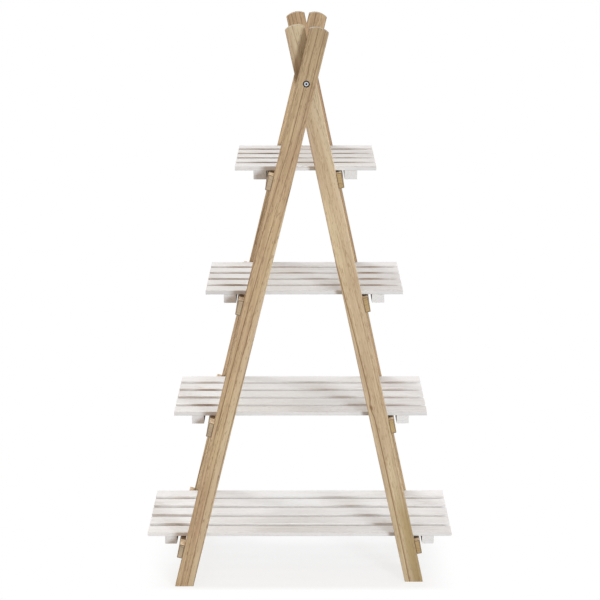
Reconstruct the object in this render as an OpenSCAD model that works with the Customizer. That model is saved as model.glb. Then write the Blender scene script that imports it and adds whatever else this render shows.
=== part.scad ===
// Folding triangle shelf: two wooden ladders cross on a pair of pivot bolts, and four slatted shelves
// lie across their rungs. Millimetres. The front faces -Y, the feet stand on z = 0, and the origin is
// on the floor under the middle of the lowest shelf.

/* [Legs] */
// Width of a leg board, seen from the front
leg_w = 45; // [38:1:55]
// Thickness of a leg board, front to back
leg_t = 22; // [18:1:28]
// Lean of each ladder off upright, degrees
lean = 12.9; // [11:0.1:16]
// How far the whole stand leans over to the right, degrees
stance = 0.8; // [0:0.1:1.5]
// Left ladder's legs above the pivot, up to the shoulders of their rounded ends
left_top_reach = 123; // [90:1:160]
// Right ladder's legs above the pivot, up to the shoulders of their rounded ends
right_top_reach = 126; // [90:1:160]
// Rise of the rounded end between its shoulders
end_rise = 6.5; // [4:0.5:12]

/* [Rungs] */
// Thickness of a rung, which lies flat against the outer edges of the legs
rung_t = 13; // [10:1:18]
// Width of a rung, along the legs
rung_w = 37; // [30:1:45]
// Radius of the eased long edges of legs and rungs
ladder_arris = 1.5; // [0.5:0.25:2.5]

/* [Shelf heights] */
// Top of the lowest shelf above the floor
first_height = 127; // [100:1:180]
// Rise from the first shelf to the second
rise_1 = 328; // [260:1:380]
// Rise from the second shelf to the third
rise_2 = 313; // [250:1:360]
// Rise from the third shelf to the top shelf
rise_3 = 304; // [240:1:350]
// Rise from the top shelf to the pivot
pivot_rise = 200; // [170:1:260]

/* [Slats] */
// Width of a slat, front to back
slat_w = 39; // [32:1:50]
// Thickness of a slat
slat_t = 10; // [8:0.5:16]
// Gap between two slats
slat_gap = 15; // [6:0.5:20]
// How far each shelf stands out past the legs at both ends, from the lowest to the top one
overhangs = [100, 102, 99, 97]; // [80:1:130]
// Radius of the eased long edges of slats and battens
slat_arris = 1; // [0.5:0.25:2]

/* [Battens] */
// Width of a batten, left to right
batten_w = 30; // [24:1:40]
// Height of a batten
batten_h = 21; // [16:1:28]
// Play between a batten's foot and its rung where a shelf lies in the middle, lowest to top one
batten_plays = [5.5, 7.5, 4.5, 2.5]; // [1.5:0.5:9]
// Where each shelf has slid to within that play, from -1, hard left, to 1, hard right
shelf_slides = [-0.2, -0.4, 0.45, 0.4]; // [-0.8:0.05:0.8]

/* [Pivot hardware] */
// Diameter of the sleeve that the legs turn on
sleeve_d = 8; // [7:0.5:10]
// Diameter of the bolt that screws into the sleeve
bolt_d = 6; // [4:0.5:6]
// Depth that the bolt reaches into the sleeve
bolt_bite = 20; // [12:1:26]
// Diameter of the bolt's head and of the sleeve nut's head
head_d = 10.5; // [10:0.5:12]
// Height of both heads
head_h = 2.8; // [2:0.1:3.2]
// Hexagon socket in both heads, across its flats
socket_flats = 4; // [3:0.5:5]
// Depth of the hexagon sockets
socket_depth = 2; // [1:0.1:2.2]
// Diameter of the round recess that each head sits in
recess_d = 16; // [15:0.5:20]
// Depth of the recess
recess_depth = 4.5; // [4:0.1:7]
// Thickness of the washer under the bolt's head
bolt_washer_t = 1.2; // [0.8:0.1:1.5]
// Air round that washer in its recess, and round the bolt in the washer
washer_room = 0.5; // [0.3:0.1:0.8]
// How far the sleeve's open end stops short of the bolt's recess
sleeve_short = 1; // [0.5:0.5:2]
// Outer diameter of the spacer washer between two legs
spacer_d = 22; // [16:1:30]
// Thickness of the spacer washer
spacer_t = 1.4; // [1:0.1:2.5]

/* [Screws] */
// Shank diameter of the wood screws
screw_d = 4; // [3:0.5:5]
// Head diameter of the wood screws
screw_head_d = 8; // [6:0.5:9]
// Distance between the two screws of a rung joint
screw_pitch = 18; // [12:1:20]
// Depth that a rung's screw reaches into the leg
leg_bite = 27; // [18:1:32]
// Wood left above the point of a shelf's screw
slat_skin = 3; // [2:0.5:5]

/* [Fits] */
// Air between a rung and the slats that rest on it
seat_gap = 0.3; // [0.2:0.05:0.6]
// Air beside a part that turns on the pivot
running_gap = 0.2; // [0.1:0.05:0.4]
// Radial clearance of the sleeve, the bolt and the screws in their holes
hole_clearance = 0.05; // [0.03:0.01:0.1]
// Air between the shelves and the legs in front of and behind them
shelf_clearance = 1; // [0.5:0.5:4]

/* [Hidden] */
SIDES = ["left", "right"];
FACES = ["front", "back"];
SHELVES = [1, 2, 3, 4];
SLATS = [1, 2, 3, 4, 5];

// Colours of the woods and metals
raw_wood = [0.74, 0.62, 0.47];
yellow_wood = [0.76, 0.65, 0.46];
white_wood = [0.90, 0.88, 0.86];
bright_zinc = [0.75, 0.76, 0.78];
dark_steel = [0.22, 0.20, 0.19];

// Smoothness of bores and turned parts, and of the small eased edges
round_fn = 48;
arris_fn = 24;
// Reach of a cutter past the face that it opens
over = 1;

// Heights of the shelves' tops, and of the pivot
shelf_top = [
    first_height,
    first_height + rise_1,
    first_height + rise_1 + rise_2,
    first_height + rise_1 + rise_2 + rise_3
];
pivot_z = shelf_top[3] + pivot_rise;

// The left ladder leans more than the right one, because the stand leans over to the right
function lean_of(side) = side == "left" ? lean + stance : lean - stance;
// Distance of a ladder's outer leg edge from the pivot's upright, at height z
function edge_at(side, z) = (pivot_z - z) * tan(lean_of(side)) + leg_w / 2 / cos(lean_of(side));
// The same for the outer face of a rung
function rung_face_at(side, z) = edge_at(side, z) + rung_t / cos(lean_of(side));
// How far shelf s has slid to the right
function slide(s) = shelf_slides[s - 1] * batten_plays[s - 1];
// The lowest shelf is centred on x = 0, which puts the pivot to the right
pivot_x = (edge_at("left", shelf_top[0]) - edge_at("right", shelf_top[0])) / 2 - slide(1);
function shelf_end(side, s) = edge_at(side, shelf_top[s - 1]) + overhangs[s - 1];
// Upright that shelf s is set out from: the pivot's, moved by the shelf's slide
function shelf_x(s) = pivot_x + slide(s);
function top_reach(side) = side == "left" ? left_top_reach : right_top_reach;

// Depths, front to back. The right ladder stands between the legs of the left one.
shelf_depth = len(SLATS) * slat_w + (len(SLATS) - 1) * slat_gap;
spacer_room = spacer_t + running_gap;
depth = shelf_depth + 2 * shelf_clearance + 4 * leg_t + 2 * spacer_room;
function leg_front_y(side) = -depth / 2 + (side == "left" ? 0 : leg_t + spacer_room);
function slat_y(k) = -shelf_depth / 2 + slat_w / 2 + (k - 1) * (slat_w + slat_gap);

// Radius of the rounded leg end
end_r = (leg_w * leg_w / 4 + end_rise * end_rise) / (2 * end_rise);
// Underside of shelf s
function under(s) = shelf_top[s - 1] - slat_t;
// Height along the ladder of a rung's top. The rung's rounded outer corner is its highest point, and
// it stops short of the slats by the seat gap.
function rung_top(side, s) =
    (under(s) - seat_gap - ladder_arris - pivot_z
        - sin(lean_of(side)) * (leg_w / 2 + rung_t - ladder_arris)) / cos(lean_of(side)) + ladder_arris;
function rung_mid(side, s) = rung_top(side, s) - rung_w / 2;

// Depth of a countersink, and of a screw's point
screw_head_h = (screw_head_d - screw_d) / 2;
screw_point = screw_d;

// Places its children on a ladder: z runs up along the legs, the pivot is the origin, and the rungs
// are on the -x side
module on_ladder(side) {
    translate([pivot_x, 0, pivot_z])
        mirror([side == "right" ? 1 : 0, 0, 0])
            rotate([0, lean_of(side), 0])
                children();
}

// Places its children on the front or the back pair of legs
module on_face(face) {
    mirror([0, face == "back" ? 1 : 0, 0]) children();
}

// Points +z to the back, from the front face of the front pair at the pivot
module on_pivot(face) {
    on_face(face)
        translate([pivot_x, -depth / 2, pivot_z])
            rotate([-90, 0, 0])
                children();
}

// Section of a board whose four long edges are eased, centred
module eased_section(w, h, r) {
    square([w - 2 * r, h], center = true);
    square([w, h - 2 * r], center = true);
    for (x = [-1, 1], y = [-1, 1])
        translate([x * (w / 2 - r), y * (h / 2 - r)])
            circle(r, $fn = arris_fn);
}

// Board that runs along y, centred
module board_y(w, h, length, r) {
    rotate([90, 0, 0])
        linear_extrude(length, center = true)
            eased_section(w, h, r);
}

// Outline of a leg in its own plane: a foot cut level with the floor and a rounded top end
module leg_outline(side) {
    a = lean_of(side);
    foot = pivot_z / cos(a);
    slope = leg_w / 2 * tan(a);
    reach = top_reach(side);
    polygon([
        [-leg_w / 2, -foot - slope],
        [leg_w / 2, -foot + slope],
        [leg_w / 2, reach],
        [-leg_w / 2, reach]
    ]);
    intersection() {
        translate([0, reach + end_rise - end_r])
            circle(end_r, $fn = 96);
        translate([-leg_w / 2, 0])
            square([leg_w, reach + end_rise]);
    }
}

// Leg blank, front face on y = 0, with eased long edges
module leg_blank(side) {
    long = pivot_z / cos(lean_of(side)) + leg_w;
    intersection() {
        translate([0, leg_t, 0])
            rotate([90, 0, 0])
                linear_extrude(leg_t)
                    leg_outline(side);
        translate([0, leg_t / 2, -long])
            linear_extrude(long + top_reach(side) + 2 * end_rise)
                eased_section(leg_w, leg_t, ladder_arris);
    }
}

// Through bore for the sleeve, with the recess for a head on the outer or the inner face
module pivot_bore(side) {
    recess_y = side == "left" ? -over : leg_t - recess_depth;
    rotate([-90, 0, 0]) {
        translate([0, 0, -over])
            cylinder(h = leg_t + 2 * over, d = sleeve_d + 2 * hole_clearance, $fn = round_fn);
        translate([0, 0, recess_y])
            cylinder(h = recess_depth + over, d = recess_d, $fn = round_fn);
    }
}

// Countersunk screw: its head is flush with z = 0 and it points along -z
module wood_screw(length) {
    translate([0, 0, -screw_head_h])
        cylinder(h = screw_head_h, d1 = screw_d, d2 = screw_head_d, $fn = round_fn);
    translate([0, 0, screw_point - length])
        cylinder(h = length - screw_point - screw_head_h, d = screw_d, $fn = round_fn);
    translate([0, 0, -length])
        cylinder(h = screw_point, d1 = 0, d2 = screw_d, $fn = round_fn);
}

// Hole for such a screw, with its clearance all round
module screw_hole(length) {
    grow = 2 * hole_clearance;
    cylinder(h = over, d = screw_head_d + grow, $fn = round_fn);
    translate([0, 0, -screw_head_h])
        cylinder(h = screw_head_h, d1 = screw_d + grow, d2 = screw_head_d + grow, $fn = round_fn);
    translate([0, 0, -length - hole_clearance])
        cylinder(h = length, d = screw_d + grow, $fn = round_fn);
}

// The screws of one ladder, or their holes: two through each end of each rung, into the legs' edges
module at_rung_screws(side, rungs) {
    y = leg_front_y(side) + leg_t / 2;
    for (s = rungs, end = [-1, 1], step = [-0.5, 0.5])
        translate([-leg_w / 2 - rung_t, end * y, rung_mid(side, s) + step * screw_pitch])
            rotate([0, -90, 0])
                children();
}

module leg(side, face) {
    color(side == "left" ? raw_wood : yellow_wood)
        on_ladder(side)
            difference() {
                on_face(face)
                    translate([0, leg_front_y(side), 0])
                        difference() {
                            leg_blank(side);
                            pivot_bore(side);
                        }
                at_rung_screws(side, SHELVES)
                    screw_hole(rung_t + leg_bite);
            }
}

module rung(side, s) {
    length = -2 * leg_front_y(side);
    color(side == "left" ? raw_wood : yellow_wood)
        on_ladder(side)
            difference() {
                translate([-leg_w / 2 - rung_t / 2, 0, rung_mid(side, s)])
                    board_y(rung_t, rung_w, length, ladder_arris);
                at_rung_screws(side, [s])
                    screw_hole(rung_t + leg_bite);
            }
}

module ladder_screws(side) {
    color(bright_zinc)
        on_ladder(side)
            at_rung_screws(side, SHELVES)
                wood_screw(rung_t + leg_bite);
}

// Height of the bolt head's underside, of the sleeve's open end and of the inner recess's floor,
// all from the front face
head_seat = recess_depth - bolt_washer_t;
sleeve_start = recess_depth + sleeve_short;
inner_floor = 2 * leg_t + spacer_room - recess_depth;

// Round head with a hexagon socket, from z = 0 up to its face, on which it is chamfered
module socket_head() {
    chamfer = 0.5;
    difference() {
        rotate_extrude($fn = round_fn)
            polygon([
                [0, 0],
                [head_d / 2, 0],
                [head_d / 2, head_h - chamfer],
                [head_d / 2 - chamfer, head_h],
                [0, head_h]
            ]);
        translate([0, 0, head_h - socket_depth])
            cylinder(h = socket_depth + over, d = socket_flats / cos(30), $fn = 6);
    }
}

module ring(outer, inner, thick) {
    difference() {
        cylinder(h = thick, d = outer, $fn = round_fn);
        translate([0, 0, -over])
            cylinder(h = thick + 2 * over, d = inner, $fn = round_fn);
    }
}

module pivot_bolt(face) {
    color(bright_zinc)
        on_pivot(face)
            translate([0, 0, head_seat]) {
                mirror([0, 0, 1]) socket_head();
                cylinder(h = sleeve_start - head_seat + bolt_bite, d = bolt_d, $fn = round_fn);
            }
}

module bolt_washer(face) {
    color(dark_steel)
        on_pivot(face)
            translate([0, 0, head_seat])
                ring(recess_d - 2 * washer_room, bolt_d + 2 * washer_room, bolt_washer_t);
}

module spacer_washer(face) {
    color(dark_steel)
        on_pivot(face)
            translate([0, 0, leg_t])
                ring(spacer_d, sleeve_d + 2 * hole_clearance, spacer_t);
}

// Sleeve that the legs turn on, with a head that keeps the right-hand leg on it
module sleeve_nut(face) {
    color(bright_zinc)
        on_pivot(face) {
            translate([0, 0, inner_floor + running_gap])
                socket_head();
            difference() {
                translate([0, 0, sleeve_start])
                    cylinder(h = inner_floor + running_gap - sleeve_start, d = sleeve_d, $fn = round_fn);
                translate([0, 0, sleeve_start - over])
                    cylinder(h = bolt_bite + over + running_gap, d = bolt_d + 2 * hole_clearance, $fn = round_fn);
            }
        }
}

// Middle of a batten, left to right. Its inner face stands off the rung by the play, measured at the
// height of its own foot.
function batten_x(side, s) =
    shelf_x(s) + (side == "left" ? -1 : 1)
        * (rung_face_at(side, under(s) - batten_h) + batten_plays[s - 1] + batten_w / 2);

// One screw up through each batten into slat k, with its head flush in the batten's foot
module at_shelf_screws(s, sides, slats) {
    for (side = sides, k = slats)
        translate([batten_x(side, s), slat_y(k), under(s) - batten_h])
            mirror([0, 0, 1])
                children();
}

shelf_screw_length = batten_h + slat_t - slat_skin;

module slat(s, k) {
    left = shelf_x(s) - shelf_end("left", s);
    right = shelf_x(s) + shelf_end("right", s);
    color(white_wood)
        difference() {
            translate([(left + right) / 2, slat_y(k), shelf_top[s - 1] - slat_t / 2])
                rotate([0, 0, 90])
                    board_y(slat_w, slat_t, right - left, slat_arris);
            at_shelf_screws(s, SIDES, [k])
                screw_hole(shelf_screw_length);
        }
}

module batten(s, side) {
    color(white_wood)
        difference() {
            translate([batten_x(side, s), 0, under(s) - batten_h / 2])
                board_y(batten_w, batten_h, shelf_depth, slat_arris);
            at_shelf_screws(s, [side], SLATS)
                screw_hole(shelf_screw_length);
        }
}

module shelf_screws(s) {
    color(bright_zinc)
        at_shelf_screws(s, SIDES, SLATS)
            wood_screw(shelf_screw_length);
}

for (side = SIDES) {
    for (face = FACES)
        leg(side, face);
    for (s = SHELVES)
        rung(side, s);
    ladder_screws(side);
}
for (face = FACES) {
    pivot_bolt(face);
    bolt_washer(face);
    spacer_washer(face);
    sleeve_nut(face);
}
for (s = SHELVES) {
    for (k = SLATS)
        slat(s, k);
    for (side = SIDES)
        batten(s, side);
    shelf_screws(s);
}
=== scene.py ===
# %% [markdown]
# # Folding triangle shelf
# Two wooden ladders cross on a pair of pivot bolts, and four slatted shelves lie across their rungs.
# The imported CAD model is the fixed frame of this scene: its boards already have their real shapes, so
# this lesson gives them timber, paint and metal, refines the small hardware, and lights the whole
# like a product picture. Everything is in metres, +Z up, and the front faces -Y.

import bmesh
import bpy
import numpy as np
from mathutils import Matrix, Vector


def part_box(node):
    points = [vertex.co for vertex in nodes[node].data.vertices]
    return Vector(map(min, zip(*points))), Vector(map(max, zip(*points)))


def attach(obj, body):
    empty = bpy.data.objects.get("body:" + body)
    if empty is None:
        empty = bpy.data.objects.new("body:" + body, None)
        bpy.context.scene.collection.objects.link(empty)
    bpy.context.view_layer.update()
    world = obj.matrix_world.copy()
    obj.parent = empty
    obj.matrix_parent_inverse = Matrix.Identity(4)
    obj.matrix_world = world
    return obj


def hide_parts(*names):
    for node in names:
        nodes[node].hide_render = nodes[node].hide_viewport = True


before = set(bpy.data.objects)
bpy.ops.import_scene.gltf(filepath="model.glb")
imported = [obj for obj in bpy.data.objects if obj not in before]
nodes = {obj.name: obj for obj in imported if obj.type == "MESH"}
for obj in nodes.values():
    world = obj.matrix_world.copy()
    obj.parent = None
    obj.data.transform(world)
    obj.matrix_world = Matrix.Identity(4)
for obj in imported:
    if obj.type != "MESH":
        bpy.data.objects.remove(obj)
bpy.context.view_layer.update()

MM = 0.001

# %% [markdown]
# The camera was found by matching the leg edges, shelf corners and feet with their places in the
# picture. A long lens, 3.5 m in front of the stand and 1.8 m up, looks down by 17 degrees, so the
# shelves show their tops. It could also be placed by eye, but this place is measured.

# %% Camera
PICTURE = 600
FOCAL_PIXELS = 1454.6
EYE = np.array([14.5, -3480.3, 1776.9]) * MM
YAW, PITCH, ROLL = np.radians([-0.208, 17.122, -0.125])


def camera_axes(yaw, pitch, roll):
    """Right, up and forward of a camera that turns by yaw from +Y, looks down by pitch, then rolls."""
    forward = np.array([np.sin(yaw) * np.cos(pitch), np.cos(yaw) * np.cos(pitch), -np.sin(pitch)])
    level = np.array([np.cos(yaw), -np.sin(yaw), 0.0])
    upright = np.cross(level, forward)
    right = np.cos(roll) * level + np.sin(roll) * upright
    up = -np.sin(roll) * level + np.cos(roll) * upright
    return right, up, forward


right, up, forward = camera_axes(YAW, PITCH, ROLL)
placed = np.eye(4)
placed[:3, :3] = np.stack([right, up, -forward], axis=1)
placed[:3, 3] = EYE
lens = bpy.data.cameras.new("camera")
lens.sensor_width = 36.0
lens.lens = FOCAL_PIXELS / PICTURE * lens.sensor_width
camera = bpy.data.objects.new("camera", lens)
bpy.context.scene.collection.objects.link(camera)
camera.matrix_world = placed.T.tolist()
bpy.context.scene.camera = camera
print("camera lens %.1f mm at %s" % (lens.lens, EYE.round(3)))

# %% [markdown]
# Colours are written as the hex values that a painter would pick on screen, and one function turns
# them into the linear light that the renderer adds up. One more function adds a shader node with its
# settings and links, so that a material reads as a list of steps. Inputs given as a tuple go in the
# node's own order: for Map Range that is a value, the range it comes from and the range it goes to,
# and SMOOTH makes it ease in and out.


# %% Colour and node helpers
def linear(code):
    """Linear RGBA of an sRGB hex colour: the straight part below 0.04045, the 2.4 power above it."""
    channels = np.array([int(code[i:i + 2], 16) for i in (1, 3, 5)]) / 255
    lit = np.where(channels <= 0.04045, channels / 12.92, ((channels + 0.055) / 1.055) ** 2.4)
    return (*lit.tolist(), 1.0)


def add(tree, kind, inputs=(), **settings):
    """Adds a node, named as in Blender without ShaderNode in front. Settings are its properties. Inputs
    are a tuple in order, or a dictionary by name or number, of numbers, colours, sockets or nodes, where
    a node stands for the first of its outputs that is in use."""
    made = tree.nodes.new(kind if kind.startswith("NodeGroup") else "ShaderNode" + kind)
    for name, value in settings.items():
        setattr(made, name, value)
    pairs = inputs.items() if isinstance(inputs, dict) else enumerate(inputs)
    for key, value in pairs:
        if isinstance(value, bpy.types.Node):
            value = next(socket for socket in value.outputs if socket.enabled)
        if isinstance(value, bpy.types.NodeSocket):
            tree.links.new(value, made.inputs[key])
        else:
            made.inputs[key].default_value = value
    return made


def new_material(name):
    """An empty material and its tree."""
    material = bpy.data.materials.new(name)
    material.use_nodes = True
    material.node_tree.nodes.clear()
    return material, material.node_tree


SMOOTH = {"interpolation_type": "SMOOTHSTEP"}
print("white wood #EDEAE6 is", np.round(linear("#EDEAE6")[:3], 3))

# %% [markdown]
# Each board needs its own frame, because grain runs along the board wherever it points. The frame is
# read off the mesh: the faces of a long board look across it far more than along it, so the
# direction that the least face area looks in is its length.


# %% Measure the boards
def board_frame(name):
    """Middle, axes and half sizes of a board. The axes are the eigenvectors of the area-weighted sum of
    normal times normal: the smallest is the length, the next the width, the largest the thickness."""
    mesh = nodes[name].data
    points = np.zeros(len(mesh.vertices) * 3)
    mesh.vertices.foreach_get("co", points)
    points = points.reshape(-1, 3)
    mesh.calc_loop_triangles()
    corners = np.zeros(len(mesh.loop_triangles) * 3, int)
    mesh.loop_triangles.foreach_get("vertices", corners)
    a, b, c = points[corners.reshape(-1, 3)].transpose(1, 0, 2)
    cross = np.cross(b - a, c - a)
    area = np.linalg.norm(cross, axis=1)
    keep = area > 0
    spread = np.einsum("ni,nj->ij", cross[keep] / area[keep, None], cross[keep])
    axes = np.linalg.eigh(spread)[1].T
    # Each axis points up, or else back, or else right, and the three are right-handed
    axes = np.array([axis * np.sign(axis @ [0.1, 0.5, 1.0]) for axis in axes])
    axes[2] = np.cross(axes[0], axes[1])
    along = points @ axes.T
    low, high = along.min(axis=0), along.max(axis=0)
    return {"middle": (low + high) / 2 @ axes, "axes": axes, "half": (high - low) / 2}


boards = {name: board_frame(name) for name in sorted(nodes)
          if name.endswith("leg") or "rung" in name or "slat" in name or name.endswith("batten")}
leg_lean = np.degrees(np.arccos(boards["left_front_leg"]["axes"][0][2]))
print(len(boards), "boards; the left front leg leans %.2f degrees" % leg_lean)

# %% [markdown]
# The timber is paulownia or a close relative: light, fast grown and ring-porous. A tree is a set of
# nested cones round its pith, so the figure on every face of a board is where that face cuts the
# rings. Working it out in three dimensions gives straight lines on a face cut towards the pith,
# arches on one cut past it, and arcs on the end grain, all from one formula. A painted image or a
# stretched wave texture would give only one of the three. The formula is a node group, which works at
# a point of a board that is given in millimetres along, across and through it.

# %% Timber figure: the group and its sockets
FIGURE = bpy.data.node_groups.new("timber_figure", "ShaderNodeTree")
for way, kind, names in (
        ("INPUT", "NodeSocketVector", ("Point", "Pith", "Slope", "Bend", "Half", "Axis", "Knot")),
        ("INPUT", "NodeSocketFloat", ("Sway", "Stop", "Ring", "Width", "Years", "Bold", "Faint", "Seed")),
        ("OUTPUT", "NodeSocketFloat", ("Line", "Fibre", "Pores", "Cloud", "Knot", "End", "Edge", "Rim",
                                       "Radius"))):
    for name in names:
        FIGURE.interface.new_socket(name, in_out=way, socket_type=kind)
given = add(FIGURE, "NodeGroupInput").outputs
point = given["Point"]
print("timber figure:", len(FIGURE.interface.items_tree), "sockets")

# %% [markdown]
# Whatever grows in a tree is drawn out along it, so each noise is read at the point over a feature's
# length and width, both in mm. Three slow ones come first. Grain is never quite straight: it wanders
# over 600 mm, and by a fifth of that over 90 mm, because two sizes together look grown where one looks
# bent. Clouds, 260 mm long, are the slow light and dark of heartwood and sapwood.

# %% Timber figure: clouds and the wander of the grain
slow = {}
for name, length, width, detail in (("sway", 600, 90, 0.0), ("ripple", 90, 25, 1.0),
                                    ("cloud", 260, 34, 2.0)):
    scaled = add(FIGURE, "VectorMath", (point, (1 / length, 1 / width, 1 / width)), operation="MULTIPLY")
    slow[name] = add(FIGURE, "TexNoise", {"Vector": scaled, "W": given["Seed"], "Scale": 1.0,
                                          "Detail": detail}, noise_dimensions="4D").outputs
# A fifth of the ripple is added to the sway, and the mean of that sum is 0.6
summed = add(FIGURE, "VectorMath", (slow["ripple"]["Color"], (0.2, 0.2, 0.2), slow["sway"]["Color"]),
             operation="MULTIPLY_ADD")
centred = add(FIGURE, "VectorMath", (summed, (0.6, 0.6, 0.6)), operation="SUBTRACT")
sized = add(FIGURE, "VectorMath", {0: centred, "Scale": given["Sway"]}, operation="SCALE")
wander = add(FIGURE, "VectorMath", (sized, (0, 1, 1), point), operation="MULTIPLY_ADD")
print("clouds and wander:", len(FIGURE.nodes), "nodes so far")

# %% [markdown]
# The rings need one number, the distance from the pith. The pith itself drifts by a slope and a bend
# along the board, up to a stop. Rings part round a pin knot, an oval twice as long as wide: within
# 14 mm of it, that distance grows by up to 4 mm.

# %% Timber figure: the distance from the pith
along = add(FIGURE, "SeparateXYZ", (point,)).outputs["X"]
far = add(FIGURE, "Math", (along, given["Stop"]), operation="MINIMUM")
squared = add(FIGURE, "Math", (far, far), operation="MULTIPLY")
drift = add(FIGURE, "VectorMath", {0: given["Slope"], "Scale": far}, operation="SCALE")
curve = add(FIGURE, "VectorMath", {0: given["Bend"], "Scale": squared}, operation="SCALE")
moved = add(FIGURE, "VectorMath", (given["Pith"], drift), operation="ADD")
pith = add(FIGURE, "VectorMath", (moved, curve), operation="ADD")
away = add(FIGURE, "VectorMath", (wander, pith), operation="SUBTRACT")
flat = add(FIGURE, "VectorMath", (away, (0, 1, 1)), operation="MULTIPLY")
from_pith = add(FIGURE, "VectorMath", (flat,), operation="LENGTH")

knot_way = add(FIGURE, "VectorMath", (point, given["Knot"]), operation="SUBTRACT")
knot_oval = add(FIGURE, "VectorMath", (knot_way, (0.45, 1, 1)), operation="MULTIPLY")
knot_far = add(FIGURE, "VectorMath", (knot_oval,), operation="LENGTH")
bulge = add(FIGURE, "MapRange", (knot_far, 1.0, 14.0, 4.0, 0.0), **SMOOTH)
knot = add(FIGURE, "MapRange", (knot_far, 1.2, 4.6, 1.0, 0.0), **SMOOTH)
radius = add(FIGURE, "Math", (from_pith, bulge), operation="ADD")
print("distance from the pith:", len(FIGURE.nodes), "nodes so far")

# %% [markdown]
# That distance over the ring width counts the years. There are wide and narrow years, so a noise makes
# the count run ahead and behind. At each turn of a year is a line, sharp on the side of the pith and
# three times as soft on the other. It comes and goes over 200 mm, by a noise in which each year reads
# another row, and one year may be bolder than the rest.

# %% Timber figure: the ring lines
count = add(FIGURE, "Math", (radius, given["Ring"]), operation="DIVIDE")
shifted = add(FIGURE, "Math", (count, given["Seed"]), operation="ADD")
years = add(FIGURE, "TexNoise", {"W": shifted, "Scale": 0.9, "Detail": 0.0}, noise_dimensions="1D")
uneven = add(FIGURE, "Math", (years, given["Years"], shifted), operation="MULTIPLY_ADD")
phase = add(FIGURE, "Math", (uneven,), operation="FRACT")
year = add(FIGURE, "Math", (uneven,), operation="FLOOR")
grown = add(FIGURE, "Math", (phase, given["Ring"]), operation="MULTIPLY")
left_to_grow = add(FIGURE, "Math", (given["Ring"], grown), operation="SUBTRACT")
third = add(FIGURE, "Math", (given["Width"], 0.35), operation="MULTIPLY")
after = add(FIGURE, "MapRange", (grown, 0.0, given["Width"], 1.0, 0.0), **SMOOTH)
before = add(FIGURE, "MapRange", (left_to_grow, 0.0, third, 1.0, 0.0), **SMOOTH)
either = add(FIGURE, "Math", (after, before), operation="MAXIMUM")

stretch = add(FIGURE, "Math", (along, 1 / 200), operation="MULTIPLY")
apart = add(FIGURE, "Math", (year, 7.31), operation="MULTIPLY")
year_place = add(FIGURE, "CombineXYZ", (stretch, apart, given["Seed"]))
luck = add(FIGURE, "TexNoise", {"Vector": year_place, "Scale": 1.0, "Detail": 1.0})
strong = add(FIGURE, "MapRange", (luck, 0.36, 0.6, 0.3, 1.0), **SMOOTH)
from_bold = add(FIGURE, "Math", (uneven, given["Bold"]), operation="SUBTRACT")
steps = add(FIGURE, "Math", (from_bold,), operation="ABSOLUTE")
bold = add(FIGURE, "MapRange", (steps, 0.3, 0.4, 1.0, 0.0))
usual = add(FIGURE, "Math", (strong, given["Faint"]), operation="MULTIPLY")
shared = add(FIGURE, "Math", (usual, bold), operation="MAXIMUM")
line = add(FIGURE, "Math", (either, shared), operation="MULTIPLY")
print("ring lines:", len(FIGURE.nodes), "nodes so far")

# %% [markdown]
# Fibres are bundles 3 mm wide and 110 mm long. Real ones are finer, and these are as coarse as the
# picture can show; the noise's own detail adds the finer ones. Pores are cut vessels, crowded in the
# early wood after a line, and drawn 1.3 mm wide and 12 mm long where real ones are half of that, so
# that they show. Both follow the wander of the grain.

# %% Timber figure: fibres and pores
fine = {}
for name, length, width, detail, roughness in (("fibre", 110, 3.2, 4.5, 0.72),
                                               ("speck", 12, 1.3, 0.0, 0.5)):
    scaled = add(FIGURE, "VectorMath", (wander, (1 / length, 1 / width, 1 / width)), operation="MULTIPLY")
    fine[name] = add(FIGURE, "TexNoise", {"Vector": scaled, "W": given["Seed"], "Scale": 1.0,
                                          "Detail": detail, "Roughness": roughness}, noise_dimensions="4D")
crowd = add(FIGURE, "MapRange", (phase, 0.0, 0.6, 0.54, 0.66))
above = add(FIGURE, "Math", (fine["speck"], crowd), operation="SUBTRACT")
pores = add(FIGURE, "MapRange", (above, 0.0, 0.08), **SMOOTH)
print("fibres and pores:", len(FIGURE.nodes), "nodes so far")

# %% [markdown]
# End grain is where the surface looks along the board. Long edges are within 3 mm of both the side and
# the face, where hands and cartons rub; on the clear timber they are made lighter, partly as wear and
# partly as a painted highlight on the rounded arris. The rim is the outline of a sawn end, within 3 mm
# of either, where the saw frays it and dirt stays; on the rungs it is darker still, as painted shade.

# %% Timber figure: ends and edges
normal = add(FIGURE, "TexCoord").outputs["Normal"]
look = add(FIGURE, "VectorMath", (normal, given["Axis"]), operation="DOT_PRODUCT")
lengthwise = add(FIGURE, "Math", (look,), operation="ABSOLUTE")
end = add(FIGURE, "MapRange", (lengthwise, 0.6, 0.85), **SMOOTH)
off_middle = add(FIGURE, "VectorMath", (point,), operation="ABSOLUTE")
inside = add(FIGURE, "VectorMath", (given["Half"], off_middle), operation="SUBTRACT")
_, from_side, from_face = add(FIGURE, "SeparateXYZ", (inside,)).outputs
farther = add(FIGURE, "Math", (from_side, from_face), operation="MAXIMUM")
nearer = add(FIGURE, "Math", (from_side, from_face), operation="MINIMUM")
rubbed = add(FIGURE, "MapRange", (farther, 0.4, 2.6, 1.0, 0.0), **SMOOTH)
frayed = add(FIGURE, "MapRange", (nearer, 0.3, 3.0, 1.0, 0.0), **SMOOTH)
not_end = add(FIGURE, "Math", (1.0, end), operation="SUBTRACT")
edge = add(FIGURE, "Math", (rubbed, not_end), operation="MULTIPLY")
rim = add(FIGURE, "Math", (frayed, end), operation="MULTIPLY")
add(FIGURE, "NodeGroupOutput", {"Line": line, "Fibre": fine["fibre"], "Pores": pores,
                                "Cloud": slow["cloud"]["Fac"], "Knot": knot, "End": end, "Edge": edge,
                                "Rim": rim, "Radius": radius})
print("timber figure:", len(FIGURE.nodes), "nodes")

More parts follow.
